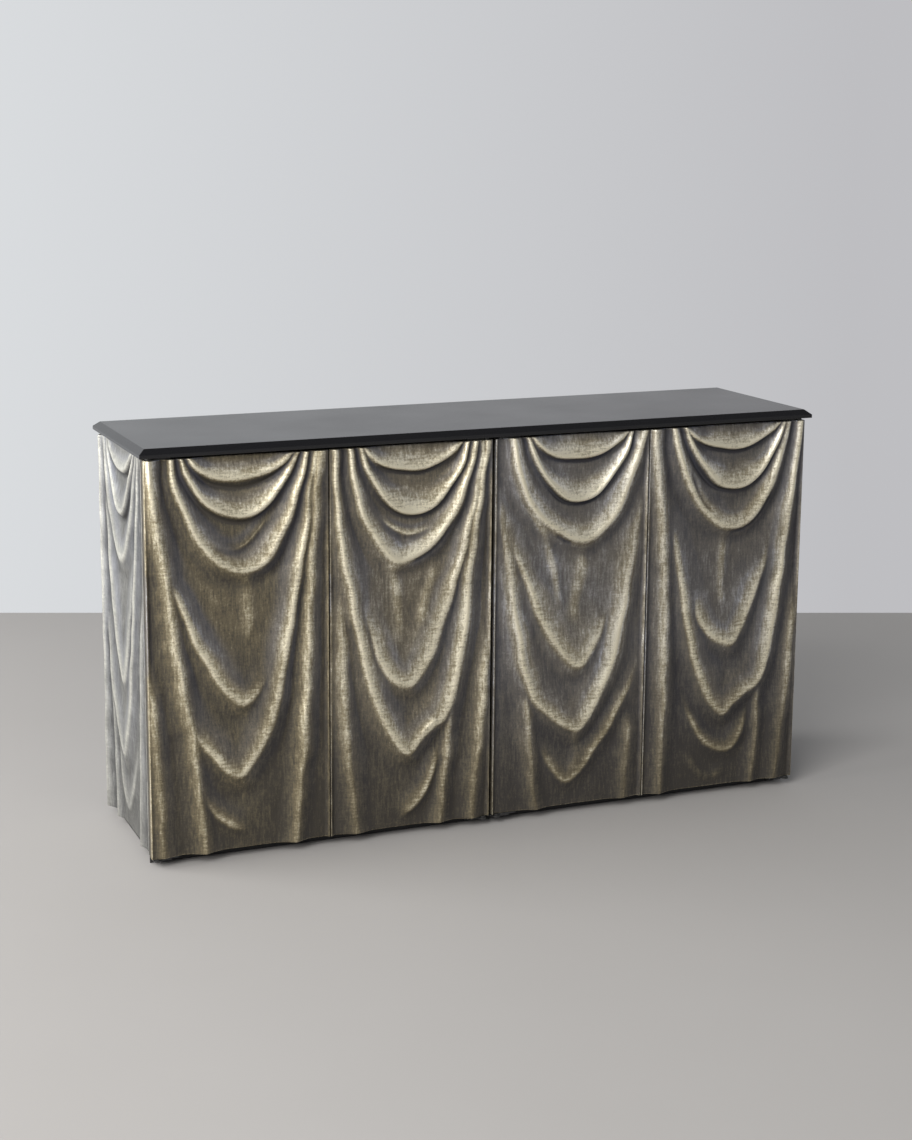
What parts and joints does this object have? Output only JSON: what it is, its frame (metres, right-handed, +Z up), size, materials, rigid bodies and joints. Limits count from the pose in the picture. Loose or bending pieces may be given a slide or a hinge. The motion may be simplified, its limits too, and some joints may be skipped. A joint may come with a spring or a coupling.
{
  "type": "console cabinet",
  "caption": "Long low cabinet with doors and ends clad in brass sheet pressed like draped cloth, under a bevelled black slab on a recessed plinth.",
  "frame": {"origin": "on the floor, under the middle of the top slab", "axes": "+X along the cabinet to the viewer's right, -Y out of the doors, +Z up"},
  "size_m": [1.524, 0.406, 0.87],
  "materials": {
    "black_lacquer": "satin black lacquer",
    "black_board": "black stained board",
    "beech": "plain",
    "patinated_brass": "aged, hammered and brushed",
    "black_steel": "matt black",
    "zinc_steel": "zinc plated",
    "latch_plastic": "matt",
    "glide_plastic": "matt"
  },
  "bodies": {
    "carcass": {"top_slab": "black_lacquer", "carcass_tenons": "beech", "right_side_board": "black_board", "left_side_board": "black_board", "centre_partition": "black_board", "bottom_board": "black_board", "sub_top": "black_board", "right_back_panel": "black_board", "left_back_panel": "black_board", "right_shelf": "black_board", "left_shelf": "black_board", "right_shelf_cleats": "black_board", "left_shelf_cleats": "black_board", "plinth_front_rail": "black_lacquer", "plinth_back_rail": "black_lacquer", "plinth_left_rail": "black_lacquer", "plinth_right_rail": "black_lacquer", "plinth_glides": "glide_plastic", "left_side_skin": "patinated_brass", "right_side_skin": "patinated_brass", "upper_pivots": "black_steel", "lower_pivots": "black_steel", "latch_housings": "latch_plastic"},
    "left_outer_door": {"left_outer_door_board": "black_board", "left_outer_door_skin": "patinated_brass", "left_outer_door_leaves": "black_steel", "left_outer_strike_plate": "zinc_steel"},
    "left_outer_plunger": {"left_outer_latch_plunger": "latch_plastic"},
    "left_inner_door": {"left_inner_door_board": "black_board", "left_inner_door_skin": "patinated_brass", "left_inner_door_leaves": "black_steel", "left_inner_strike_plate": "zinc_steel"},
    "left_inner_plunger": {"left_inner_latch_plunger": "latch_plastic"},
    "right_inner_door": {"right_inner_door_board": "black_board", "right_inner_door_skin": "patinated_brass", "right_inner_door_leaves": "black_steel", "right_inner_strike_plate": "zinc_steel"},
    "right_inner_plunger": {"right_inner_latch_plunger": "latch_plastic"},
    "right_outer_door": {"right_outer_door_board": "black_board", "right_outer_door_skin": "patinated_brass", "right_outer_door_leaves": "black_steel", "right_outer_strike_plate": "zinc_steel"},
    "right_outer_plunger": {"right_outer_latch_plunger": "latch_plastic"}
  },
  "joints": [
    {"name": "left_outer_door_hinge", "type": "hinge", "parent": "carcass", "child": "left_outer_door", "pos_m": [-0.739, -0.1865, 0.434], "axis": [0, 0, -1], "range_deg": [0, 110]},
    {"name": "left_inner_door_hinge", "type": "hinge", "parent": "carcass", "child": "left_inner_door", "pos_m": [-0.016, -0.1865, 0.434], "axis": [0, 0, 1], "range_deg": [0, 88]},
    {"name": "right_inner_door_hinge", "type": "hinge", "parent": "carcass", "child": "right_inner_door", "pos_m": [0.016, -0.1865, 0.434], "axis": [0, 0, -1], "range_deg": [0, 88]},
    {"name": "right_outer_door_hinge", "type": "hinge", "parent": "carcass", "child": "right_outer_door", "pos_m": [0.739, -0.1865, 0.434], "axis": [0, 0, 1], "range_deg": [0, 110]},
    {"name": "left_outer_latch_press", "type": "slide", "parent": "carcass", "child": "left_outer_plunger", "axis": [0, 1, 0], "range_m": [0, 0.0025], "stiffness_N_per_m": 400},
    {"name": "left_inner_latch_press", "type": "slide", "parent": "carcass", "child": "left_inner_plunger", "axis": [0, 1, 0], "range_m": [0, 0.0025], "stiffness_N_per_m": 400},
    {"name": "right_inner_latch_press", "type": "slide", "parent": "carcass", "child": "right_inner_plunger", "axis": [0, 1, 0], "range_m": [0, 0.0025], "stiffness_N_per_m": 400},
    {"name": "right_outer_latch_press", "type": "slide", "parent": "carcass", "child": "right_outer_plunger", "axis": [0, 1, 0], "range_m": [0, 0.0025], "stiffness_N_per_m": 400}
  ]
}
